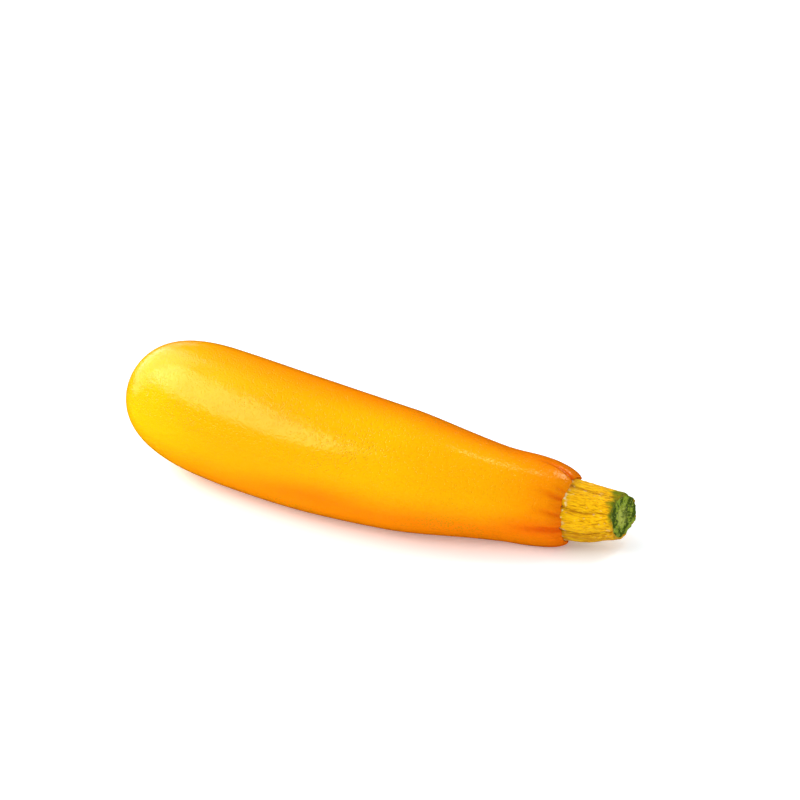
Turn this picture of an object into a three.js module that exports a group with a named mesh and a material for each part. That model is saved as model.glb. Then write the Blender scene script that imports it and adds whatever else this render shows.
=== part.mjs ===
// A yellow zucchini as picked, lying on its side: the fruit and the cut stub of its stem.
// Millimetres, +Z up. The fruit lies along X, its blossom end at -X and its stem at +X, and the
// origin is at the middle of the footprint, on the surface that it rests on.
import * as THREE from "three";

// Driving dimensions. An angle round the fruit or the stem runs from -Y towards +Z.
const BELLY_RADIUS = 23.7; // the widest ring
const BELLY_ALONG = 41; // distance of the widest ring from the blossom tip
const SHANK_RADIUS = 21.2; // where the flank starts to draw in
const SHANK_ALONG = 106;
const NECK_RADIUS = 15.4; // the waist behind the shoulder
const NECK_ALONG = 150;
const SEAT_RADIUS = 11.1; // the flat under the stem
const SEAT_ALONG = 167.2;
const RIM_RADIUS = 11.8; // the rim of the shoulder around that flat
const LIP_REACH = 3.2; // how far the highest lobe of the rim stands out past the flat
const LIP_FACING = THREE.MathUtils.degToRad(125); // the side that this lobe is on
const STEM_LENGTH = 19.2;
const STEM_FOOT_RADIUS = 10; // the flared foot of the stem
const STEM_WAIST_RADIUS = 9.6;
const STEM_CUT_RADIUS = 7.8;
const STEM_GAP = 0.4; // clearance between fruit and stem
const SEAT_SLANT = 0.1; // how far the stem's foot leans back, in millimetres per millimetre of width
const CUT_SLANT = 0.37; // and the cut, towards the side below
const CUT_FACING = THREE.MathUtils.degToRad(28);

const RIBS = 5; // a squash stem has five angles, and the fruit's neck has five lobes between them
const FIRST_RIB = THREE.MathUtils.degToRad(62);
const RIB_HEIGHT = 0.055; // share of the stem's radius
const LOBE_DEPTH = 0.05; // share of the neck's radius
const LOBES_START = 118; // the lobes fade in from here along the fruit
const LOBES_FULL = 158;

const FRUIT_SEGMENTS = 48;
const STEM_SEGMENTS = 40;
const CURVE_STEPS = 12; // steps along each stretch of an outline

// The line through the middle of every ring, from the blossom tip to the cut. It bows sideways,
// and it sinks towards the neck, because the thinner neck lies on the same surface as the belly.
// The stem sits low on the shoulder and runs straight on.
const BLOSSOM_TIP = new THREE.Vector3(-91.0, 11.7, 26.8);
const NECK = new THREE.Vector3(56, -4.7, 14.5);
const SEAT = new THREE.Vector3(74.2, -2.1, 11.5);
const BEYOND_CUT = new THREE.Vector3(104.2, -2.1, 13.2); // the rings of a slanted cut reach this far
const spine = new THREE.CurvePath();
spine.add(
  new THREE.CubicBezierCurve3(
    BLOSSOM_TIP,
    new THREE.Vector3(-43, -0.5, 20.1),
    new THREE.Vector3(7, -17.5, 24.9),
    NECK,
  ),
);
spine.add(
  new THREE.CubicBezierCurve3(
    NECK,
    new THREE.Vector3(61, -4.1, 15.2),
    new THREE.Vector3(67.3, -2.1, 12.7),
    SEAT,
  ),
);
spine.add(new THREE.LineCurve3(SEAT, BEYOND_CUT));
const SPINE_LENGTH = spine.getLength();
const TURN_REACH = 8; // a ring faces along the chord between points this far before and after it

function curve(x0, y0, x1, y1, x2, y2, x3, y3) {
  return new THREE.CubicBezierCurve(
    new THREE.Vector2(x0, y0),
    new THREE.Vector2(x1, y1),
    new THREE.Vector2(x2, y2),
    new THREE.Vector2(x3, y3),
  );
}

function spinePoint(along) {
  return spine.getPoint(THREE.MathUtils.clamp(along / SPINE_LENGTH, 0, 1));
}

// A ring's place on the spine: its centre, the sideways axis (towards -Y) and the upward axis.
function ringFrame(along) {
  const centre = spinePoint(along);
  const ahead = spinePoint(along + TURN_REACH).sub(spinePoint(along - TURN_REACH)).normalize();
  const side = new THREE.Vector3(ahead.y, -ahead.x, 0).normalize();
  const up = new THREE.Vector3().crossVectors(ahead, side).negate().normalize();
  return { centre, side, up };
}

// Turns a lathed solid's vertices (x and z across, y along) into rings on the spine.
// shape(angle, along) gives the share of the radius that a rib or lobe adds or takes, and
// reach(angle, along, radius, grown) gives how far the vertex moves on along the spine, from its
// radius before and after that.
function bendOntoSpine(geometry, shape, reach) {
  const position = geometry.getAttribute("position");
  for (let i = 0; i < position.count; i++) {
    const across = position.getX(i);
    const upward = position.getZ(i);
    const along = position.getY(i);
    const radius = Math.hypot(across, upward);
    const angle = Math.atan2(upward, across);
    const grown = radius * (1 + shape(angle, along));
    const { centre, side, up } = ringFrame(along + reach(angle, along, radius, grown));
    centre.addScaledVector(side, Math.cos(angle) * grown);
    centre.addScaledVector(up, Math.sin(angle) * grown);
    position.setXYZ(i, centre.x, centre.y, Math.max(centre.z, 0));
  }
  return geometry;
}

function ribWave(angle) {
  return Math.cos(RIBS * (angle - FIRST_RIB));
}

// Lobes fade in towards the neck, with a groove that runs to each rib of the stem.
function neckLobes(angle, along) {
  const grown = THREE.MathUtils.smoothstep(along, LOBES_START, LOBES_FULL);
  return (-LOBE_DEPTH / 2) * grown * ribWave(angle);
}

// The shoulder leans back with the stem's foot, and its highest lobe stands out beyond the flat.
function shoulderReach(angle, along, radius, grown) {
  const facing = Math.max(0, Math.cos(angle - LIP_FACING)) ** 2;
  const onShoulder = THREE.MathUtils.smoothstep(along, NECK_ALONG, SEAT_ALONG);
  const onRim = THREE.MathUtils.smoothstep(radius, SEAT_RADIUS, RIM_RADIUS);
  return onShoulder * (LIP_REACH * facing * onRim - SEAT_SLANT * Math.sin(angle) * grown);
}

function stemRibs(angle) {
  return RIB_HEIGHT * ribWave(angle);
}

// The lean turns from that of the foot to that of the knife's cut along the stem.
function stemReach(angle, along, radius, grown) {
  const foot = SEAT_SLANT * Math.sin(angle);
  const cut = CUT_SLANT * Math.cos(angle - CUT_FACING);
  return -grown * THREE.MathUtils.mapLinear(along, SEAT_ALONG, SEAT_ALONG + STEM_LENGTH, foot, cut);
}

function fruitGeometry() {
  const outline = new THREE.CurvePath();
  // the full, rounded blossom end
  outline.add(curve(0, 0, 16.5, 0, BELLY_RADIUS, 12.6, BELLY_RADIUS, BELLY_ALONG));
  // the long flank
  outline.add(
    curve(BELLY_RADIUS, BELLY_ALONG, BELLY_RADIUS, 60, 22.9, 87, SHANK_RADIUS, SHANK_ALONG),
  );
  outline.add(
    curve(SHANK_RADIUS, SHANK_ALONG, 21, 117, 15.9, 137, NECK_RADIUS, NECK_ALONG),
  );
  // the shoulder, and the flat that the stem sits on
  outline.add(
    curve(NECK_RADIUS, NECK_ALONG, 15.6, 158, 13.9, 165.2, RIM_RADIUS, SEAT_ALONG),
  );
  const points = outline.getPoints(CURVE_STEPS);
  points.push(new THREE.Vector2(SEAT_RADIUS, SEAT_ALONG));
  points.push(new THREE.Vector2(0, SEAT_ALONG));
  return bendOntoSpine(new THREE.LatheGeometry(points, FRUIT_SEGMENTS), neckLobes, shoulderReach);
}

function stemGeometry() {
  const foot = SEAT_ALONG + STEM_GAP;
  const cut = SEAT_ALONG + STEM_LENGTH;
  const points = [new THREE.Vector2(0, foot)];
  const side = new THREE.CurvePath();
  side.add(
    curve(STEM_FOOT_RADIUS, foot, STEM_FOOT_RADIUS, foot + 1.5, STEM_WAIST_RADIUS, foot + 2.5,
      STEM_WAIST_RADIUS, foot + 6),
  );
  side.add(
    curve(STEM_WAIST_RADIUS, foot + 6, STEM_WAIST_RADIUS, foot + 11, STEM_CUT_RADIUS + 0.4,
      foot + 15, STEM_CUT_RADIUS, cut),
  );
  points.push(...side.getPoints(CURVE_STEPS / 2));
  points.push(new THREE.Vector2(0, cut));
  return bendOntoSpine(new THREE.LatheGeometry(points, STEM_SEGMENTS), stemRibs, stemReach);
}

const skin = new THREE.MeshStandardMaterial({ color: 0xf9b208, roughness: 0.35, metalness: 0 });
const fruit = new THREE.Mesh(fruitGeometry(), skin);
fruit.name = "fruit";

const rind = new THREE.MeshStandardMaterial({ color: 0xb8a021, roughness: 0.7, metalness: 0 });
const stem = new THREE.Mesh(stemGeometry(), rind);
stem.name = "stem";

const zucchini = new THREE.Group();
zucchini.add(fruit, stem);

// The origin is at the middle of the footprint.
const bounds = new THREE.Box3().setFromObject(zucchini);
const middle = bounds.getCenter(new THREE.Vector3());
zucchini.position.set(-middle.x, -middle.y, -bounds.min.z);

export default zucchini;
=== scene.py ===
"""A yellow zucchini on a pale floor: the glossy, gently bowed fruit and the cut stub of its stem.

Lengths are in metres unless a name ends in _MM. Both pieces are first modelled straight along X,
where "along" is the distance from the blossom tip and an angle runs from -Y towards +Z. A Curve
modifier then lays them on the spine, the bowed line through the middle of the fruit.
"""

import math

import bpy
import numpy as np
from bpy.props import FloatProperty, FloatVectorProperty, PointerProperty
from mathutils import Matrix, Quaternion, Vector, noise
from mathutils.geometry import interpolate_bezier


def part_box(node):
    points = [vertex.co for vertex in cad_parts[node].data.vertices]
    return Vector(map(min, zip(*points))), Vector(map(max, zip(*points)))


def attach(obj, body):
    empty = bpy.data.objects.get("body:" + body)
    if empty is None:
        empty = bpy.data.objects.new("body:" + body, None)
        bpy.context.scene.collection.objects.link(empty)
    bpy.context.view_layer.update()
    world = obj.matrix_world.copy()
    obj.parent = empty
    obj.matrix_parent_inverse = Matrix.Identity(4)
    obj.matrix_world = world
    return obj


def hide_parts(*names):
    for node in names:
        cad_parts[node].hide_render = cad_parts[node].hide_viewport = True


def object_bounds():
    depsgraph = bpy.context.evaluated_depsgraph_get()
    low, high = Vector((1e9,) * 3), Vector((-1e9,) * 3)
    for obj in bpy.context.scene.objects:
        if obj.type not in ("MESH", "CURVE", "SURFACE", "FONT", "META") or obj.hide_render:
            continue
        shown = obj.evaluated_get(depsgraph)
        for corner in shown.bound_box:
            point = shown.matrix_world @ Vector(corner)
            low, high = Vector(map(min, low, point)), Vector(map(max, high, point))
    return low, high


bl_info = {
    "name": "Yellow zucchini",
    "version": (1, 0, 0),
    "blender": (4, 5, 0),
    "location": "3D View > Sidebar > Zucchini",
    "description": "Models a yellow zucchini with its stem stub, and a stage for it",
    "category": "Object",
}

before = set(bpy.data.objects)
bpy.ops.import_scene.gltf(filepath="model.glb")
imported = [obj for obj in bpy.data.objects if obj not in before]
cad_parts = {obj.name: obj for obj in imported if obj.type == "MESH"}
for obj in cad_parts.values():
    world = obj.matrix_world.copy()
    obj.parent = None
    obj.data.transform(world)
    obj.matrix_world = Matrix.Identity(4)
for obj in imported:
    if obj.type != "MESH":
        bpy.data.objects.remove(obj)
CAD_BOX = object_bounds()
FRUIT_LOW, FRUIT_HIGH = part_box("fruit")

MM = 0.001

# The fruit's box places the spine's own origin in the frame.
SPINE_FROM_LOW_X = 92.045 * MM
SPINE_FROM_MIDDLE_Y = 1.355 * MM
SPINE_ORIGIN = Vector(
    (
        FRUIT_LOW.x + SPINE_FROM_LOW_X,
        (FRUIT_LOW.y + FRUIT_HIGH.y) / 2 + SPINE_FROM_MIDDLE_Y,
        FRUIT_LOW.z,
    )
)

# The spine's Bezier stretches, in millimetres from that origin: start, two handles, end.
SPINE_MM = (
    ((-91, 11.8, 26.8), (-43, -0.5, 20.1), (7, -17.5, 24.9), (56, -4.7, 14.5)),
    ((56, -4.7, 14.5), (61, -4.1, 15.2), (67.3, -2.1, 12.7), (74.2, -2.1, 11.5)),
    ((74.2, -2.1, 11.5), (84.2, -2.1, 12.07), (94.2, -2.1, 12.63), (104.2, -2.1, 13.2)),
)
SPINE_SAMPLES = 120  # points that each stretch is first cut into
SPINE_STEP_MM = 1.0
SPINE_SMOOTHING = 8  # steps to each side that a spine point is averaged over
SEAT_ALONG_MM = 167.2  # where the stem sits on the fruit

# The fruit's outline: Bezier stretches of (radius, along) in millimetres.
FRUIT_OUTLINE_MM = (
    ((0, 0), (16.5, 0), (23.7, 12.6), (23.7, 41)),
    ((23.7, 41), (23.7, 60), (22.9, 87), (21.2, 106)),
    ((21.2, 106), (21, 117), (15.9, 137), (15.4, 150)),
    ((15.4, 150), (15.6, 158), (13.9, 165.2), (11.0, 167.2)),
)
FRUIT_OUTLINE_RINGS = (10, 8, 9, 9)
FRUIT_SEAT_MM = ((9.6, 166.9), (7.5, 166.3))  # rings that close the fruit under the stem
FRUIT_SIDES = 32

# The stem's outline, from inside the fruit's seat to the rim of the cut, as (radius, along).
STEM_OUTLINE_MM = (
    (9.2, -1.6),
    (9.9, -1.1),
    (10.2, -0.4),
    (10.25, 0.5),
    (10.1, 1.6),
    (9.95, 3.2),
    (9.85, 5.0),
    (9.7, 7.0),
    (9.45, 9.0),
    (9.1, 11.0),
    (8.7, 13.0),
    (8.3, 15.0),
    (8.0, 16.8),
    (7.8, 18.0),
    (7.7, 18.7),
    (7.5, 19.1),
)
STEM_LENGTH_MM = STEM_OUTLINE_MM[-1][1]
CUT_INSETS_MM = (0.5, 0.9, 1.2, 1.4, 1.4, 1.2)  # steps from the cut's rim towards its middle
STEM_SIDES = 40

SUBDIVISIONS = 3

# The neck and the stem. All sides that something faces are angles in degrees.
NECK_RIDGES = (-146, -74, -2, 64, 138)
STEM_RIBS = (-150, -92, -38, 5, 56, 108, 158)
# Furrows that run from the stem's foot up the neck: angle, depth and length in millimetres
NECK_FURROWS = (
    (56, 0.3, 8),
    (43, 0.6, 12),
    (30, 0.3, 8),
    (16, 0.55, 14),
    (4, 0.25, 8),
    (-10, 1.0, 20),
    (-26, 0.25, 8),
    (-60, 0.5, 14),
    (-116, 0.45, 13),
    (-168, 0.5, 15),
    (142, 0.5, 13),
    (92, 0.75, 16),
)
LIP_FACING = 125  # the side that the shoulder's highest lobe is on
LOWER_LOBE_FACING = -52
LOWER_LOBE_REACH_MM = 1.5
SEAT_SLANT = 0.1  # how far the stem's foot leans back per length across it
SHOULDER_START_MM = 150
SHOULDER_RIM_MM = (9.6, 11.2)  # the radii between which the rim of the shoulder rises

# The blossom end, in millimetres
SCAR_ALONG_MM = 8  # the scar and its puckers lie nearer to the tip than this
ELSEWHERE_MM = 99.0  # stands for the distance from the tip beyond that
SCAR_HEIGHT_MM = 0.35
PIT_DEPTH_MM = 1.1  # in the middle of the scar
PUCKERS = 10
PUCKER_HEIGHT_MM = 0.08

# The long flank and the neck
LOBES_ALONG_MM = (80, 152)  # the stretch over which the neck's lobes fade in
FLUTES = 10
FLUTE_HEIGHT_MM = 0.07
KEEL_FACING = -2  # a blunt edge runs along this side of the neck
KEEL_HEIGHT_MM = 0.32

# The cut end of the stem
CUT_FACING = 28
CUT_RIM_MM = 7.8
TRIMMED_FACING = -95  # the corner that is cut back further
TRIMMED_MM = 1.9
CUT_SINK_MM = 0.12  # each of the first rings inside the rim lies this much deeper

# Colours that no setting holds
FRECKLE_COLOUR = (0.48, 0.3, 0.005)
CORK_COLOURS = ((0.13, 0.055, 0.012), (0.52, 0.33, 0.1))
# Painted highlight that runs along the stem's fibres
THREAD_HIGHLIGHT_COLOUR = (0.94, 0.6, 0.008)
BLOT_COLOUR = (0.96, 0.57, 0.006)
FOOT_COLOUR = (0.92, 0.84, 0.56)
HEART_COLOUR = (0.5, 0.54, 0.09)
GLINT_COLOUR = (0.6, 0.66, 0.2)
PAINTED_SHADE_SHARES = (0.94, 0.62, 1)  # of the neck colour, for the painted shade on the low and far sides
PALE_FLESH_SHARES = (5.5, 3.8, 5)  # of the cut's colour, in its paler spots

# The stage
AIM_MM = (12.68, 0, 41.18)  # from the spine's origin to the point that the camera looks at
FLOOR_SIZE = 8
FLOOR_GAP = 0.05 * MM
FLOOR_GLOW = 0.2
ROOM_LIGHT = 0.63

# Softboxes round the aim: name, azimuth, elevation, roll, size and power
SOFTBOXES = (
    ("key softbox", -61, 40, 0, (1.1, 0.48), 8.4),
    ("left softbox", -108, 23, -16, (0.86, 0.8), 3.4),
    ("rim softbox", -130, 8, 0, (0.6, 0.2), 0.3),
    ("back softbox", 142, 33, 0, (0.3, 0.4), 1.6),
    ("top softbox", 126, 66, 0, (0.16, 0.16), 0.5),
)
SOFTBOX_DISTANCE = 0.9


# ---------------------------------------------------------------- settings


class ZucchiniFruitSettings(bpy.types.PropertyGroup):
    """Sizes and colours of the fruit"""

    lobe_height: FloatProperty(
        name="Lobe height",
        description="How far the neck's ridges stand out",
        default=0.28 * MM,
        subtype="DISTANCE",
        unit="LENGTH",
    )
    lip_reach: FloatProperty(
        name="Lip reach",
        description="How far the shoulder's highest lobe stands out past the stem's foot",
        default=3.4 * MM,
        subtype="DISTANCE",
        unit="LENGTH",
    )
    waviness: FloatProperty(
        name="Waviness",
        description="Height of the broad, soft swellings of the skin",
        default=0.2 * MM,
        subtype="DISTANCE",
        unit="LENGTH",
    )
    scar_radius: FloatProperty(
        name="Scar radius",
        description="Radius of the corky scar that the blossom leaves",
        default=3.6 * MM,
        subtype="DISTANCE",
        unit="LENGTH",
    )
    blossom_colour: FloatVectorProperty(
        name="Blossom end",
        description="Skin at the blossom end",
        default=(0.98, 0.515, 0.0015),
        subtype="COLOR",
        min=0,
        max=1,
    )
    belly_colour: FloatVectorProperty(
        name="Belly",
        description="Skin round the belly",
        default=(0.97, 0.385, 0.001),
        subtype="COLOR",
        min=0,
        max=1,
    )
    neck_colour: FloatVectorProperty(
        name="Neck",
        description="Skin at the neck",
        default=(0.96, 0.285, 0.001),
        subtype="COLOR",
        min=0,
        max=1,
    )
    # Deeper orange of the furrows by the stem, which also serves as painted shade in the creases
    # and round the stem's foot
    furrow_and_shade_colour: FloatVectorProperty(
        name="Furrow",
        description="Skin in the furrows by the stem",
        default=(0.8, 0.115, 0.001),
        subtype="COLOR",
        min=0,
        max=1,
    )


class ZucchiniStemSettings(bpy.types.PropertyGroup):
    """Sizes and colours of the stem"""

    rib_height: FloatProperty(
        name="Rib height",
        description="How far the ribs stand out from the valleys between them",
        default=0.8 * MM,
        subtype="DISTANCE",
        unit="LENGTH",
    )
    fibre_height: FloatProperty(
        name="Fibre height",
        description="Relief of the fibres along the rind",
        default=0.3 * MM,
        subtype="DISTANCE",
        unit="LENGTH",
    )
    cut_slant: FloatProperty(
        name="Cut slant",
        description="Length lost per length across the stem, towards the side that the cut faces",
        default=0.37,
    )
    rind_colour: FloatVectorProperty(
        name="Rind",
        description="Dry rind on the ribs",
        default=(0.88, 0.44, 0.002),
        subtype="COLOR",
        min=0,
        max=1,
    )
    # Darker rind of the valleys and between the fibres, which also serves as painted shade in the
    # valleys and on the stem's lower side
    valley_and_shade_colour: FloatVectorProperty(
        name="Valleys",
        description="Rind in the valleys and between the fibres",
        default=(0.46, 0.16, 0.002),
        subtype="COLOR",
        min=0,
        max=1,
    )
    green_colour: FloatVectorProperty(
        name="Green rind",
        description="Rind that is still green, near the cut",
        default=(0.13, 0.17, 0.006),
        subtype="COLOR",
        min=0,
        max=1,
    )
    cut_colour: FloatVectorProperty(
        name="Cut flesh",
        description="Flesh in the cut",
        default=(0.05, 0.1, 0.005),
        subtype="COLOR",
        min=0,
        max=1,
    )


class ZucchiniStageSettings(bpy.types.PropertyGroup):
    """Floor, lights and camera"""

    azimuth: FloatProperty(
        name="Azimuth",
        description="How far round the camera stands, from -Y towards +X",
        default=math.radians(20),
        subtype="ANGLE",
        unit="ROTATION",
    )
    elevation: FloatProperty(
        name="Elevation",
        description="How far above the floor the camera looks from",
        default=math.radians(26),
        subtype="ANGLE",
        unit="ROTATION",
    )
    distance: FloatProperty(
        name="Distance",
        description="From the camera to the point that it looks at",
        default=0.634,
        subtype="DISTANCE",
        unit="LENGTH",
    )
    lens: FloatProperty(
        name="Lens",
        description="Focal length",
        default=85,
        subtype="DISTANCE_CAMERA",
        unit="CAMERA",
    )
    floor_colour: FloatVectorProperty(
        name="Floor",
        description="The plain pale floor",
        default=(0.9, 0.95, 0.98),
        subtype="COLOR",
        min=0,
        max=1,
    )


# ---------------------------------------------------------------- modelling


def deselect():
    if bpy.context.mode != "OBJECT":
        bpy.ops.object.mode_set(mode="OBJECT")
    bpy.ops.object.select_all(action="DESELECT")


def select_vertices(piece, chosen):
    """Selects these vertices and nothing else, and goes into edit mode."""
    for group in (piece.data.polygons, piece.data.edges):
        group.foreach_set("select", [False] * len(group))
    piece.data.vertices.foreach_set("select", chosen)
    bpy.ops.object.mode_set(mode="EDIT")
    bpy.ops.mesh.select_mode(type="VERT")


def start_ring(name, sides, radius, along):
    """A new circle round the X axis, open in edit mode with all of it selected."""
    deselect()
    bpy.ops.mesh.primitive_circle_add(
        vertices=sides,
        radius=radius,
        fill_type="NOTHING",
        location=(along, 0, 0),
        rotation=(0, math.pi / 2, 0),
    )
    piece = bpy.context.active_object
    piece.name = piece.data.name = name
    bpy.ops.object.transform_apply(location=True, rotation=True, scale=True)
    bpy.ops.object.mode_set(mode="EDIT")
    bpy.ops.mesh.select_all(action="SELECT")
    return piece


def draw_out(rings):
    """Extrudes the selected ring through the others, each (radius, along)."""
    for (radius, along), (next_radius, next_along) in zip(rings, rings[1:]):
        bpy.ops.mesh.extrude_region_move(
            TRANSFORM_OT_translate={"value": (next_along - along, 0, 0)}
        )
        grow = next_radius / radius
        bpy.ops.transform.resize(value=(1, grow, grow), center_override=(next_along, 0, 0))


def close_both_ends(piece, first_along):
    """Fills the selected last ring and then the first one, and turns all faces outwards."""
    bpy.ops.mesh.edge_face_add()
    bpy.ops.object.mode_set(mode="OBJECT")
    select_vertices(piece, np.abs(places(piece)[:, 0] - first_along) < 1e-6)
    bpy.ops.mesh.edge_face_add()
    bpy.ops.mesh.select_all(action="SELECT")
    bpy.ops.mesh.normals_make_consistent(inside=False)
    bpy.ops.object.mode_set(mode="OBJECT")


def apply_modifier(piece, kind, **settings):
    bpy.context.view_layer.objects.active = piece
    bpy.ops.object.modifier_add(type=kind)
    modifier = piece.modifiers[-1]
    for name, value in settings.items():
        setattr(modifier, name, value)
    bpy.ops.object.modifier_apply(modifier=modifier.name)


def push(piece, heights, direction="NORMAL"):
    """Displaces each vertex by its height, first those that rise and then those that sink."""
    most = float(np.abs(heights).max())
    for sign in (1, -1):
        shares = np.clip(sign * heights / most, 0, 1)
        group = piece.vertex_groups.new(name="push")
        for index in np.flatnonzero(shares > 0):
            group.add([int(index)], float(shares[index]), "REPLACE")
        apply_modifier(
            piece,
            "DISPLACE",
            direction=direction,
            mid_level=0,
            strength=sign * most,
            vertex_group=group.name,
        )
        piece.vertex_groups.remove(piece.vertex_groups["push"])


def places(piece):
    """The vertices' places, one row each."""
    found = np.empty(len(piece.data.vertices) * 3, np.float32)
    piece.data.vertices.foreach_get("co", found)
    return found.reshape(-1, 3).astype(float)


def straight_coordinates(piece):
    """Along in millimetres, angle in radians and radius in millimetres of each vertex."""
    co = places(piece) / MM
    return co[:, 0], np.arctan2(co[:, 2], -co[:, 1]), np.hypot(co[:, 1], co[:, 2])


def keep_attribute(piece, name, values):
    """Stores a value or a vector for each vertex, for the materials to read."""
    kind, field = ("FLOAT", "value") if values.ndim == 1 else ("FLOAT_VECTOR", "vector")
    layer = piece.data.attributes.new(name, kind, "POINT")
    layer.data.foreach_set(field, values.astype(np.float32).ravel())


def smoothstep(value, low, high):
    share = np.clip((value - low) / (high - low), 0, 1)
    return share * share * (3 - 2 * share)


def between(value, start, full, fade, end):
    """Rises from start to full and falls again from fade to end."""
    return smoothstep(value, start, full) * (1 - smoothstep(value, fade, end))


def bell(value, width):
    return np.exp(-((value / width) ** 2))


def turn(angle, degrees):
    """Signed difference of an angle and a bearing, in radians."""
    return (angle - math.radians(degrees) + math.pi) % (2 * math.pi) - math.pi


def facing(angle, degrees, sharpness):
    """1 on this side, and 0 from a quarter turn away."""
    return np.maximum(0, np.cos(turn(angle, degrees))) ** sharpness


def between_ridges(angle, ridges):
    """0 on each ridge, 1 on the next one, for ridges that are unevenly spaced."""
    degrees = np.degrees(angle)
    turns = np.array([*ridges, ridges[0] + 360.0])
    degrees = (degrees - ridges[0]) % 360 + ridges[0]
    index = np.clip(np.searchsorted(turns, degrees, side="right") - 1, 0, len(ridges) - 1)
    return (degrees - turns[index]) / (turns[index + 1] - turns[index])


def noise_at(points, size_mm, seed=0):
    """Soft noise of about -1 to 1 at points in millimetres; size_mm may differ along each axis."""
    size = np.broadcast_to(size_mm, 3)
    offset = seed * 17.3
    return np.array([noise.noise(Vector(p)) for p in points / size + offset])


def spine_points():
    """The spine in the frame, in even steps, smoothed so that its rings turn gently."""
    raw = []
    for stretch in SPINE_MM:
        raw += interpolate_bezier(*(Vector(point) for point in stretch), SPINE_SAMPLES)[:-1]
    raw.append(Vector(SPINE_MM[-1][-1]))
    raw = np.array(raw)
    lengths = np.concatenate(([0], np.cumsum(np.linalg.norm(np.diff(raw, axis=0), axis=1))))
    reach = SPINE_SMOOTHING * SPINE_STEP_MM
    first = raw[0] - (raw[3] - raw[0]) / lengths[3] * reach
    last = raw[-1] + (raw[-1] - raw[-4]) / (lengths[-1] - lengths[-4]) * reach
    raw = np.vstack((first, raw, last))
    lengths = np.concatenate(([-reach], lengths, [lengths[-1] + reach]))
    steps = np.arange(-reach, lengths[-1], SPINE_STEP_MM)
    even = np.stack([np.interp(steps, lengths, raw[:, axis]) for axis in range(3)], axis=1)
    width = 2 * SPINE_SMOOTHING + 1
    kernel = np.full(width, 1 / width)
    smooth = np.stack([np.convolve(even[:, axis], kernel, "valid") for axis in range(3)], axis=1)
    return [SPINE_ORIGIN + Vector(point) * MM for point in smooth]


def lay_on_spine(piece):
    """Bends a straight piece onto the spine, and flattens what would go below the floor."""
    points = spine_points()
    curve = bpy.data.curves.new("spine", "CURVE")
    curve.dimensions = "3D"
    curve.twist_mode = "Z_UP"
    curve.use_path = True
    curve.use_deform_bounds = False
    line = curve.splines.new("POLY")
    line.points.add(len(points) - 1)
    for point, place in zip(line.points, points):
        point.co = (*place, 1)
    spine = bpy.data.objects.new("spine", curve)
    bpy.context.collection.objects.link(spine)
    apply_modifier(piece, "CURVE", object=spine, deform_axis="POS_X")
    bpy.data.objects.remove(spine)
    bpy.data.curves.remove(curve)
    select_vertices(piece, places(piece)[:, 2] < 0)
    bpy.ops.transform.resize(value=(1, 1, 0), center_override=(0, 0, 0))
    bpy.ops.object.mode_set(mode="OBJECT")


def finish_piece(piece, material, node):
    piece.data.materials.clear()
    piece.data.materials.append(material)
    deselect()
    piece.select_set(True)
    bpy.context.view_layer.objects.active = piece
    bpy.ops.object.shade_smooth()
    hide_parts(node)
    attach(piece, "root")


# ---------------------------------------------------------------- materials


def new_material(name):
    """A material with only a Principled shader. Returns the material, its tree and the shader."""
    material = bpy.data.materials.new(name)
    material.use_nodes = True
    tree = material.node_tree
    tree.nodes.clear()
    output = tree.nodes.new("ShaderNodeOutputMaterial")
    shader = tree.nodes.new("ShaderNodeBsdfPrincipled")
    tree.links.new(shader.outputs["BSDF"], output.inputs["Surface"])
    return material, tree, shader


def fill_inputs(tree, made, inputs):
    """Sets the node's inputs, or links those whose value is another node's output."""
    for name, value in inputs.items():
        if isinstance(value, bpy.types.NodeSocket):
            tree.links.new(value, made.inputs[name])
        else:
            made.inputs[name].default_value = value


def add_node(tree, kind, inputs, **settings):
    made = tree.nodes.new("ShaderNode" + kind)
    for name, value in settings.items():
        setattr(made, name, value)
    fill_inputs(tree, made, inputs)
    return made


def read_attribute(tree, name, output="Fac"):
    return add_node(tree, "Attribute", {}, attribute_name=name).outputs[output]


def mix(tree, factor, first, second):
    made = add_node(tree, "Mix", {0: factor, 6: first, 7: second}, data_type="RGBA")
    return made.outputs[2]


def fade(tree, value, low, high, to_low=0.0, to_high=1.0):
    """The value from low to high, eased to run from to_low to to_high."""
    inputs = {
        "Value": value,
        "From Min": low,
        "From Max": high,
        "To Min": to_low,
        "To Max": to_high,
    }
    return add_node(tree, "MapRange", inputs, interpolation_type="SMOOTHSTEP").outputs["Result"]


def maths(tree, operation, *values):
    return add_node(tree, "Math", dict(enumerate(values)), operation=operation).outputs[0]


def pattern(tree, vector, size, stretch=(1, 1, 1), detail=2.0, roughness=0.5):
    """Noise with spots of about this size in metres, drawn out along an axis by stretch."""
    scale = tuple(1 / (size * factor) for factor in stretch)
    mapping = add_node(tree, "Mapping", {"Vector": vector, "Scale": scale})
    inputs = {
        "Vector": mapping.outputs[0],
        "Scale": 1.0,
        "Detail": detail,
        "Roughness": roughness,
    }
    return add_node(tree, "TexNoise", inputs).outputs[0]


def dots(tree, vector, spacing):
    """Distance to the nearest of many scattered points, in shares of their spacing."""
    inputs = {"Vector": vector, "Scale": 1 / spacing, "Randomness": 1.0}
    return add_node(tree, "TexVoronoi", inputs).outputs["Distance"]


def bump(tree, height, distance, strength=1.0, below=None):
    inputs = {"Height": height, "Distance": distance, "Strength": strength}
    if below is not None:
        inputs["Normal"] = below
    return add_node(tree, "Bump", inputs).outputs[0]


def rgba(colour, shares=(1, 1, 1)):
    """The colour with its alpha, each channel times its share."""
    return (*(channel * share for channel, share in zip(colour, shares)), 1.0)


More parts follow.
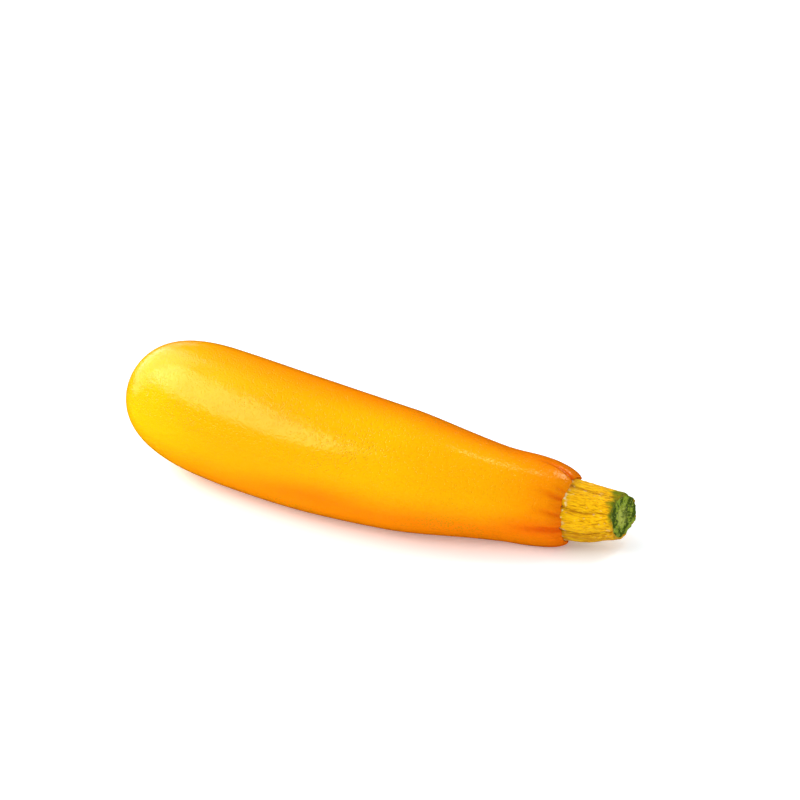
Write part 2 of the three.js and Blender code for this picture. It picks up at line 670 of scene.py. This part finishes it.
def skin_material(settings):
    """Waxy skin: lemon yellow at the blossom, golden round the belly, orange at the neck."""
    material, tree, shader = new_material("zucchini skin")
    straight = read_attribute(tree, "straight", "Vector")
    along = add_node(tree, "SeparateXYZ", {"Vector": straight}).outputs["X"]
    painted_shade_share = read_attribute(tree, "painted_shade_side")
    furrow_and_shade = read_attribute(tree, "furrow_and_shade")
    scar = read_attribute(tree, "scar")

    seat = SEAT_ALONG_MM * MM
    colour = mix(
        tree,
        fade(tree, along, 0.0, 0.4 * seat),
        rgba(settings.blossom_colour),
        rgba(settings.belly_colour),
    )
    clouds = pattern(tree, straight, 22 * MM, (1.8, 1, 1), 3)
    wandering = maths(tree, "MULTIPLY_ADD", clouds, 30 * MM, along)
    to_neck = fade(tree, wandering, 0.68 * seat, 1.1 * seat)
    colour = mix(tree, to_neck, colour, rgba(settings.neck_colour))
    # Painted shade: deeper orange on the low side and the far side of the skin
    colour = mix(tree, painted_shade_share, colour, rgba(settings.neck_colour, PAINTED_SHADE_SHARES))
    cloudy = fade(tree, clouds, 0.35, 0.7, 0.0, 0.28)
    colour = mix(tree, cloudy, colour, rgba(settings.neck_colour))
    streaks = pattern(tree, straight, 1.6 * MM, (14, 1, 1), 3)
    streaky = fade(tree, streaks, 0.45, 0.72, 0.0, 0.14)
    colour = mix(tree, streaky, colour, rgba(settings.neck_colour))
    # Painted light: a lighter patch on the upper front of the neck, as if lit there
    painted_lit_patch = maths(tree, "MULTIPLY", read_attribute(tree, "painted_lit_patch"), 0.5)
    colour = mix(tree, painted_lit_patch, colour, rgba(settings.blossom_colour))
    # Deeper orange in the furrows and round the stem's foot: partly the skin's own colour, partly
    # painted shade
    colour = mix(tree, furrow_and_shade, colour, rgba(settings.furrow_and_shade_colour))

    patches = pattern(tree, straight, 16 * MM, (2, 1, 1), 2)
    pores = fade(tree, dots(tree, straight, 0.75 * MM), 0.2, 0.42, 1.0, 0.0)
    dense = maths(tree, "MULTIPLY_ADD", read_attribute(tree, "freckled"), 0.16, patches)
    shown = maths(tree, "MULTIPLY", pores, fade(tree, dense, 0.5, 0.7, 0.05, 0.72))
    colour = mix(tree, shown, colour, rgba(FRECKLE_COLOUR))
    cork = pattern(tree, straight, 0.7 * MM, (1, 1, 1), 4, 0.7)
    cork_colour = mix(tree, fade(tree, cork, 0.38, 0.62), *map(rgba, CORK_COLOURS))
    colour = mix(tree, scar, colour, cork_colour)

    fine = pattern(tree, straight, 0.7 * MM, (1.2, 1, 1), 2)
    roughness = fade(tree, fine, 0.3, 0.7, 0.1, 0.16)
    roughness = maths(tree, "MAXIMUM", roughness, maths(tree, "MULTIPLY", scar, 0.85))

    peel = pattern(tree, straight, 1.8 * MM, (1.3, 1, 1), 2, 0.5)
    normal = bump(tree, peel, 0.12 * MM, 1.0)
    normal = bump(tree, fine, 0.065 * MM, 1.0, normal)
    normal = bump(tree, pores, -0.07 * MM, 1.0, normal)
    normal = bump(tree, streaks, 0.03 * MM, 0.5, normal)
    normal = bump(tree, maths(tree, "MULTIPLY", cork, scar), 0.4 * MM, 0.9, normal)

    inputs = {
        "Base Color": colour,
        "Roughness": roughness,
        "Normal": normal,
        "IOR": 1.45,
        "Specular Tint": (1.0, 0.86, 0.32, 1.0),
        "Subsurface Weight": 0.12,
        "Subsurface Radius": (1.0, 0.5, 0.05),
        "Subsurface Scale": 3 * MM,
    }
    fill_inputs(tree, shader, inputs)
    return material


def rind_material(settings):
    """Dry fibrous rind, ochre yellow and turning green at the cut, and the green cut itself."""
    material, tree, shader = new_material("stem rind")
    straight = read_attribute(tree, "straight", "Vector")
    rib = read_attribute(tree, "rib")
    fibre = read_attribute(tree, "fibre")
    scuff = read_attribute(tree, "scuff")
    green_side = read_attribute(tree, "green_side")
    cut = read_attribute(tree, "cut")
    middle = read_attribute(tree, "cut_middle")

    threads = pattern(tree, straight, 0.36 * MM, (26, 1, 1), 3, 0.6)
    blots = pattern(tree, straight, 2.6 * MM, (2, 1, 1), 3)
    raised = maths(tree, "MULTIPLY_ADD", rib, 0.3, maths(tree, "MULTIPLY", fibre, 0.7))
    valley_and_shade = rgba(settings.valley_and_shade_colour)
    colour = mix(tree, fade(tree, raised, 0.15, 0.6), valley_and_shade, rgba(settings.rind_colour))
    colour = mix(tree, fade(tree, threads, 0.5, 0.64, 0.0, 0.75), colour, valley_and_shade)
    # The valleys between the ribs are darkened: partly the rind's own darker grooves, partly
    # painted shade in them
    colour = mix(tree, fade(tree, rib, 0.42, 0.08, 0.0, 0.85), colour, valley_and_shade)
    # Painted shade: the rind's lower side is darkened towards the valley colour
    low = maths(tree, "MULTIPLY", read_attribute(tree, "painted_shade_side"), 0.55)
    colour = mix(tree, low, colour, valley_and_shade)
    # Painted highlight: pale streaks along the fibres, standing in for light caught on them
    pale = fade(tree, threads, 0.5, 0.36, 0.0, 0.6)
    colour = mix(tree, pale, colour, rgba(THREAD_HIGHLIGHT_COLOUR))
    colour = mix(tree, fade(tree, blots, 0.55, 0.75, 0.0, 0.3), colour, rgba(BLOT_COLOUR))
    greenness = maths(tree, "ADD", green_side, fade(tree, blots, 0.3, 0.7, -0.25, 0.25))
    greenness = fade(tree, greenness, 0.4, 1.0)
    colour = mix(tree, greenness, colour, rgba(settings.green_colour))
    colour = mix(tree, scuff, colour, rgba(FOOT_COLOUR))

    mottle = pattern(tree, straight, 0.9 * MM, (1, 1, 1), 5, 0.7)
    areas = pattern(tree, straight, 3.5 * MM, (1, 1, 1), 2)
    lit = maths(tree, "ADD", mottle, fade(tree, areas, 0.35, 0.65, -0.12, 0.12))
    dark, paler = rgba(settings.cut_colour), rgba(settings.cut_colour, PALE_FLESH_SHARES)
    flesh = mix(tree, fade(tree, lit, 0.44, 0.58), dark, paler)
    heart = maths(tree, "MULTIPLY", middle, fade(tree, lit, 0.35, 0.65, 0.15, 0.8))
    flesh = mix(tree, heart, flesh, rgba(HEART_COLOUR))
    glints = fade(tree, dots(tree, straight, 0.8 * MM), 0.1, 0.24, 0.7, 0.0)
    flesh = mix(tree, glints, flesh, rgba(GLINT_COLOUR))
    colour = mix(tree, cut, colour, flesh)

    normal = bump(tree, threads, 0.18 * MM, 0.9)
    normal = bump(tree, mottle, 0.15 * MM, 0.6, normal)
    inputs = {
        "Base Color": colour,
        "Roughness": fade(tree, threads, 0.3, 0.7, 0.36, 0.58),
        "Normal": normal,
        "Specular IOR Level": 0.45,
        "Specular Tint": (1.0, 0.82, 0.08, 1.0),
        "Subsurface Weight": 0.08,
        "Subsurface Radius": (1.0, 0.6, 0.1),
        "Subsurface Scale": 1.5 * MM,
    }
    fill_inputs(tree, shader, inputs)
    return material


# ---------------------------------------------------------------- pieces


def fruit_rings():
    rings = []
    for stretch, count in zip(FRUIT_OUTLINE_MM, FRUIT_OUTLINE_RINGS):
        handles = (Vector((*point, 0)) for point in stretch)
        rings += interpolate_bezier(*handles, count + 1)[1:]
    rings = [(ring.x, ring.y) for ring in rings]
    return [(radius * MM, along * MM) for radius, along in (*rings, *FRUIT_SEAT_MM)]


def neck_furrows(angle, along):
    """The furrows by the stem, as millimetres of depth and as a share for their deeper colour,
    which is partly the skin's own and partly painted shade in the creases.
    """
    depth, share = np.zeros(len(angle)), np.zeros(len(angle))
    for bearing, most, length in NECK_FURROWS:
        run = smoothstep(along, SEAT_ALONG_MM - length, SEAT_ALONG_MM - 1)
        wander = math.radians(1.5) * np.sin(along / 3.1 + bearing)
        across = np.abs(turn(angle + wander, bearing)) * 13.5 / (0.6 + 0.45 * most)
        depth += most * run * bell(across, 1.1)
        share = np.maximum(share, most / 0.7 * run * bell(across, 1.5))
    return depth, share


def blossom_relief(straight, angle, along, radius, scar_radius):
    """The corky scar as a mask, and the height of the scar and of the puckers round it."""
    from_tip = np.where(along < SCAR_ALONG_MM, radius, ELSEWHERE_MM)
    ragged = 1 + 0.16 * noise_at(straight, 1.6, 5)
    scar = 1 - smoothstep(from_tip / scar_radius, 0.8 * ragged, 1.02 * ragged)
    pit = 1 - smoothstep(from_tip, 0.4, 2.2)
    puckers = np.cos(PUCKERS * angle) * bell(from_tip - scar_radius - 1.5, 2.2)
    return scar, SCAR_HEIGHT_MM * scar - PIT_DEPTH_MM * pit + PUCKER_HEIGHT_MM * puckers


def flank_relief(straight, angle, along, waviness, lobe_height):
    """Height of the soft swellings and flutes of the flank, and of the neck's lobes and keel."""
    swell = noise_at(straight, (34, 24, 24), 1) + 0.35 * noise_at(straight, (14, 9, 9), 2)
    at_neck = smoothstep(along, *LOBES_ALONG_MM)
    ridge = np.cos(2 * np.pi * between_ridges(angle, NECK_RIDGES))
    flutes = np.cos(FLUTES * angle + 0.6) * smoothstep(along, 8, 40) * (1 - at_neck)
    keel = bell(turn(angle, KEEL_FACING), 0.15) * between(along, 96, 126, 150, 164)
    return (
        waviness * swell * smoothstep(along, 2, 20)
        + lobe_height * at_neck * ridge
        + FLUTE_HEIGHT_MM * flutes
        + KEEL_HEIGHT_MM * keel
    )


def shoulder_reach(angle, along, radius, lip_reach):
    """How far the shoulder stands out along X, with its two lobes and the lean of the seat."""
    lobes = lip_reach * facing(angle, LIP_FACING, 2)
    lobes += LOWER_LOBE_REACH_MM * facing(angle, LOWER_LOBE_FACING, 3)
    lobes *= smoothstep(radius, *SHOULDER_RIM_MM)
    lean = SEAT_SLANT * np.sin(angle) * radius
    return smoothstep(along, SHOULDER_START_MM, SEAT_ALONG_MM) * (lobes - lean)


def painted_low_and_far_shade(angle, along):
    """Painted shade: the skin is made deeper in colour on the side below and on the far side,
    where shade falls.
    """
    down = -np.sin(angle)
    flank = smoothstep(along, 50, 105)
    painted_low_shade = smoothstep(down, -0.02 - 0.28 * flank, 0.6 - 0.4 * flank)
    painted_low_shade *= 0.45 + 0.65 * flank - 0.5 * flank * smoothstep(down, 0.2, 0.6)
    painted_far_shade = (0.5 + 0.2 * flank) * smoothstep(np.cos(turn(angle, 142)), 0.15, 0.85)
    return np.maximum(painted_low_shade, painted_far_shade) * smoothstep(along, -10, 55)


def keep_skin_masks(piece, angle, along, scar, furrow_shade_share):
    # Painted shade round the stem's foot, mostly left out on the upper side where the light falls
    painted_shade_by_stem = smoothstep(along, SEAT_ALONG_MM - 9, SEAT_ALONG_MM + 1) * 0.6
    painted_shade_by_stem *= 1 - 0.8 * smoothstep(np.cos(turn(angle, 95)), 0.3, 0.9)
    # Painted light: the neck's upper front, which faces the lights, is marked to be made lighter
    painted_lit_patch = smoothstep(np.cos(turn(angle, 34)), 0.35, 0.95) * between(along, 70, 115, 138, 158)
    freckled = smoothstep(np.cos(turn(angle, 52)), 0.88, 0.99) * between(along, 50, 75, 104, 122)
    keep_attribute(piece, "scar", scar)
    keep_attribute(piece, "furrow_and_shade", np.clip(np.maximum(furrow_shade_share, painted_shade_by_stem), 0, 1))
    keep_attribute(piece, "painted_lit_patch", painted_lit_patch)
    keep_attribute(piece, "freckled", freckled)
    keep_attribute(piece, "painted_shade_side", painted_low_and_far_shade(angle, along))


class OBJECT_OT_zucchini_fruit(bpy.types.Operator):
    """Models the fruit: blossom end with its scar, belly, neck with lobes, and shoulder"""

    bl_idname = "object.zucchini_fruit"
    bl_label = "Fruit"
    bl_options = {"REGISTER", "UNDO"}

    def execute(self, context):
        settings = context.scene.zucchini_fruit
        rings = fruit_rings()
        piece = start_ring("zucchini_fruit", FRUIT_SIDES, *rings[0])
        draw_out(rings)
        close_both_ends(piece, rings[0][1])
        apply_modifier(piece, "SUBSURF", levels=SUBDIVISIONS, render_levels=SUBDIVISIONS)
        keep_attribute(piece, "straight", places(piece))

        straight = places(piece) / MM
        along, angle, radius = straight_coordinates(piece)
        furrows, furrow_shade_share = neck_furrows(angle, along)
        scar_radius = settings.scar_radius / MM
        scar, relief = blossom_relief(straight, angle, along, radius, scar_radius)
        waviness, lobe_height = settings.waviness / MM, settings.lobe_height / MM
        relief += flank_relief(straight, angle, along, waviness, lobe_height)
        push(piece, (relief - furrows) * MM)

        along, angle, radius = straight_coordinates(piece)
        push(piece, shoulder_reach(angle, along, radius, settings.lip_reach / MM) * MM, "X")
        lay_on_spine(piece)
        keep_skin_masks(piece, angle, along, scar, furrow_shade_share)
        finish_piece(piece, skin_material(settings), "fruit")
        return {"FINISHED"}


def stem_rings():
    """The rings up the side of the stem, and those that close its cut."""
    radius, out = STEM_OUTLINE_MM[-1]
    rings = list(STEM_OUTLINE_MM)
    for step, inset in enumerate(CUT_INSETS_MM):
        radius -= inset
        rings.append((radius, out - CUT_SINK_MM * min(step, 3)))
    return [(radius * MM, (SEAT_ALONG_MM + out) * MM) for radius, out in rings]


def rind_grain(straight):
    """Fibres that run along the rind, about -1 to 1, and the lumps on it."""
    warped = straight + 0.5 * noise_at(straight, (3.5, 5, 5), 4)[:, None] * np.array((0, 1, 1))
    coarse = 1 - 2 * np.abs(noise_at(warped, (6.5, 0.95, 0.95), 5))
    fine = 1 - 2 * np.abs(noise_at(warped, (3.2, 0.5, 0.5), 6))
    return 0.65 * coarse + 0.35 * fine, noise_at(straight, (1.4, 0.9, 0.9), 7)


def stem_reach(straight, angle, out, radius, rib, cut_slant):
    """How far the stem's foot and its cut lean along X, with the torn edge and trimmed corner."""
    grown = np.clip(out / STEM_LENGTH_MM, 0, 1)
    foot_lean = SEAT_SLANT * np.sin(angle)
    cut_lean = cut_slant * np.cos(turn(angle, CUT_FACING))
    lean = -radius * (foot_lean * (1 - grown) + cut_lean * grown)
    scallops = -1.5 * (rib - 0.35) * bell(np.maximum(out, 0), 2.2)
    torn = 0.3 * noise_at(straight, (9, 1.3, 1.3), 9)
    torn *= smoothstep(out, STEM_LENGTH_MM - 2.5, STEM_LENGTH_MM)
    trimmed = TRIMMED_MM * facing(angle, TRIMMED_FACING, 2) * (radius / CUT_RIM_MM * grown) ** 2
    return lean + scallops + torn - trimmed


def keep_rind_masks(piece, straight, angle, drifting, out, radius, on_face):
    """Where the rind is green, where it is painted darker below as shade, and where the cut and
    its middle are.
    """
    upper = 0.5 + 0.5 * np.cos(turn(angle, 110))
    green = smoothstep(out, 17.8 - 7 * upper**2, STEM_LENGTH_MM + 1.6 - upper)
    near_rim = 7.35 - 0.45 * (1 + np.cos(turn(angle, 12)))
    ragged = radius + 0.35 * noise_at(straight, 1.1, 10)
    in_rim = 1 - smoothstep(ragged, near_rim - 0.2, near_rim + 0.2)
    keep_attribute(piece, "green_side", green)
    keep_attribute(piece, "painted_shade_side", smoothstep(-np.sin(drifting), 0.16, 0.32))
    keep_attribute(piece, "cut", on_face * in_rim)


class OBJECT_OT_zucchini_stem(bpy.types.Operator):
    """Models the stem stub: scalloped foot, ribs with fibres, and the slanted cut"""

    bl_idname = "object.zucchini_stem"
    bl_label = "Stem"
    bl_options = {"REGISTER", "UNDO"}

    def execute(self, context):
        settings = context.scene.zucchini_stem
        rings = stem_rings()
        piece = start_ring("zucchini_stem", STEM_SIDES, *rings[0])
        draw_out(rings)
        close_both_ends(piece, rings[0][1])
        apply_modifier(piece, "SUBSURF", levels=SUBDIVISIONS, render_levels=SUBDIVISIONS)
        keep_attribute(piece, "straight", places(piece))

        straight = places(piece) / MM
        along, angle, radius = straight_coordinates(piece)
        out = along - SEAT_ALONG_MM
        on_face = smoothstep(out, STEM_LENGTH_MM - 1.2, STEM_LENGTH_MM - 0.5)
        in_cut = smoothstep(-radius, -7.55, -7.2) * on_face
        drift = math.radians(4) * np.sin(out / 5.5)
        drift += math.radians(2.5) * noise_at(straight, (5, 7, 7), 3)
        rib = np.abs(np.cos(np.pi * between_ridges(angle + drift, STEM_RIBS))) ** 0.8
        fibre, lumps = rind_grain(straight)
        at_foot = bell(np.maximum(out, 0), 1.6)
        side = (
            settings.rib_height / MM * (rib - 0.6)
            + settings.fibre_height / MM * (fibre - 0.3)
            + 0.08 * lumps
            + at_foot * (0.28 * np.maximum(0, lumps) + 0.25 * rib)
        )
        face = 0.16 * noise_at(straight, 0.9, 8)
        push(piece, ((1 - in_cut) * side + in_cut * face) * MM)

        _, angle, radius = straight_coordinates(piece)
        reach = stem_reach(straight, angle, out, radius, rib, settings.cut_slant)
        push(piece, reach * MM, "X")
        lay_on_spine(piece)

        corky = 0.9 * smoothstep(lumps, 0.05, 0.45) * bell(out - 0.4, 1.1)
        flecks = 0.22 * smoothstep(lumps, 0.5, 0.66)
        keep_attribute(piece, "rib", rib)
        keep_attribute(piece, "fibre", np.clip(0.5 + 0.5 * fibre, 0, 1))
        keep_attribute(piece, "scuff", np.clip(np.maximum(corky, flecks) * (1 - in_cut), 0, 1))
        keep_attribute(piece, "cut_middle", (1 - smoothstep(radius, 1.5, 4.6)) * in_cut)
        keep_rind_masks(piece, straight, angle, angle + drift, out, radius, on_face)
        finish_piece(piece, rind_material(settings), "stem")
        return {"FINISHED"}


# ---------------------------------------------------------------- stage


def direction(azimuth, elevation):
    """Unit vector that points this way, with the azimuth from -Y towards +X, in radians."""
    flat = math.cos(elevation)
    return Vector((math.sin(azimuth) * flat, -math.cos(azimuth) * flat, math.sin(elevation)))


def look_back(thing, back, roll=0.0):
    """Turns a lamp or the camera to look against this direction, rolled by an angle."""
    thing.rotation_mode = "QUATERNION"
    look = (-back).to_track_quat("-Z", "Y")
    thing.rotation_quaternion = look @ Quaternion((0, 0, 1), roll)


def add_softbox(aim, name, azimuth, elevation, roll, size, power):
    """A rectangular light on a sphere round the aim, facing it. Angles are in degrees."""
    back = direction(math.radians(azimuth), math.radians(elevation))
    bpy.ops.object.light_add(type="AREA", location=aim + back * SOFTBOX_DISTANCE)
    lamp = bpy.context.active_object
    lamp.name = lamp.data.name = name
    look_back(lamp, back, math.radians(roll))
    lamp.data.shape = "RECTANGLE"
    lamp.data.size, lamp.data.size_y = size
    lamp.data.energy = power
    lamp.visible_camera = False


def add_floor(colour):
    """A wide floor that glows a little, which keeps the shadow faint."""
    place = (0, 0, CAD_BOX[0].z - FLOOR_GAP)
    bpy.ops.mesh.primitive_plane_add(size=FLOOR_SIZE, location=place)
    floor = bpy.context.active_object
    floor.name = "floor"
    bpy.ops.object.transform_apply(location=True, rotation=True, scale=True)
    material, tree, shader = new_material("pale floor")
    inputs = {
        "Base Color": rgba(colour),
        "Roughness": 0.8,
        "Specular IOR Level": 0.1,
        "Emission Color": (1.0, 1.0, 1.0, 1.0),
        "Emission Strength": FLOOR_GLOW,
    }
    fill_inputs(tree, shader, inputs)
    material.cycles.emission_sampling = "NONE"
    floor.data.materials.append(material)
    floor.visible_glossy = False


def add_room(scene):
    """Even white light from all round, which reflections leave out."""
    world = bpy.data.worlds.new("soft room")
    world.use_nodes = True
    room = world.node_tree.nodes["Background"]
    fill_inputs(world.node_tree, room, {"Color": (1, 1, 1, 1), "Strength": ROOM_LIGHT})
    scene.world = world
    world.cycles_visibility.glossy = False


class OBJECT_OT_zucchini_stage(bpy.types.Operator):
    """Lays the pale floor, and sets the soft lights and the camera"""

    bl_idname = "object.zucchini_stage"
    bl_label = "Stage"
    bl_options = {"REGISTER", "UNDO"}

    def execute(self, context):
        scene = context.scene
        settings = scene.zucchini_stage
        deselect()
        add_floor(settings.floor_colour)
        add_room(scene)
        aim = SPINE_ORIGIN + Vector(AIM_MM) * MM
        for softbox in SOFTBOXES:
            add_softbox(aim, *softbox)

        back = direction(settings.azimuth, settings.elevation)
        bpy.ops.object.camera_add(location=aim + back * settings.distance)
        camera = context.active_object
        look_back(camera, back)
        camera.data.lens = settings.lens
        camera.data.clip_start = 0.01
        scene.camera = camera
        scene.view_settings.view_transform = "Standard"
        deselect()
        return {"FINISHED"}


class VIEW3D_PT_zucchini(bpy.types.Panel):
    """Lists the zucchini's operators and settings"""

    bl_label = "Zucchini"
    bl_idname = "VIEW3D_PT_zucchini"
    bl_space_type = "VIEW_3D"
    bl_region_type = "UI"
    bl_category = "Zucchini"

    def draw(self, context):
        for operator, group in STEPS:
            box = self.layout.box()
            box.operator(operator.bl_idname)
            settings = getattr(context.scene, group)
            for name in settings.__annotations__:
                box.prop(settings, name)


STEPS = (
    (OBJECT_OT_zucchini_fruit, "zucchini_fruit"),
    (OBJECT_OT_zucchini_stem, "zucchini_stem"),
    (OBJECT_OT_zucchini_stage, "zucchini_stage"),
)
GROUPS = (
    ("zucchini_fruit", ZucchiniFruitSettings),
    ("zucchini_stem", ZucchiniStemSettings),
    ("zucchini_stage", ZucchiniStageSettings),
)
CLASSES = (
    *(settings for _, settings in GROUPS),
    *(operator for operator, _ in STEPS),
    VIEW3D_PT_zucchini,
)


def register():
    for made in CLASSES:
        bpy.utils.register_class(made)
    for name, settings in GROUPS:
        setattr(bpy.types.Scene, name, PointerProperty(type=settings))


def unregister():
    for name, _ in GROUPS:
        delattr(bpy.types.Scene, name)
    for made in reversed(CLASSES):
        bpy.utils.unregister_class(made)


def main():
    register()
    bpy.ops.object.zucchini_fruit()
    bpy.ops.object.zucchini_stem()
    bpy.ops.object.zucchini_stage()


if __name__ == "__main__":
    main()
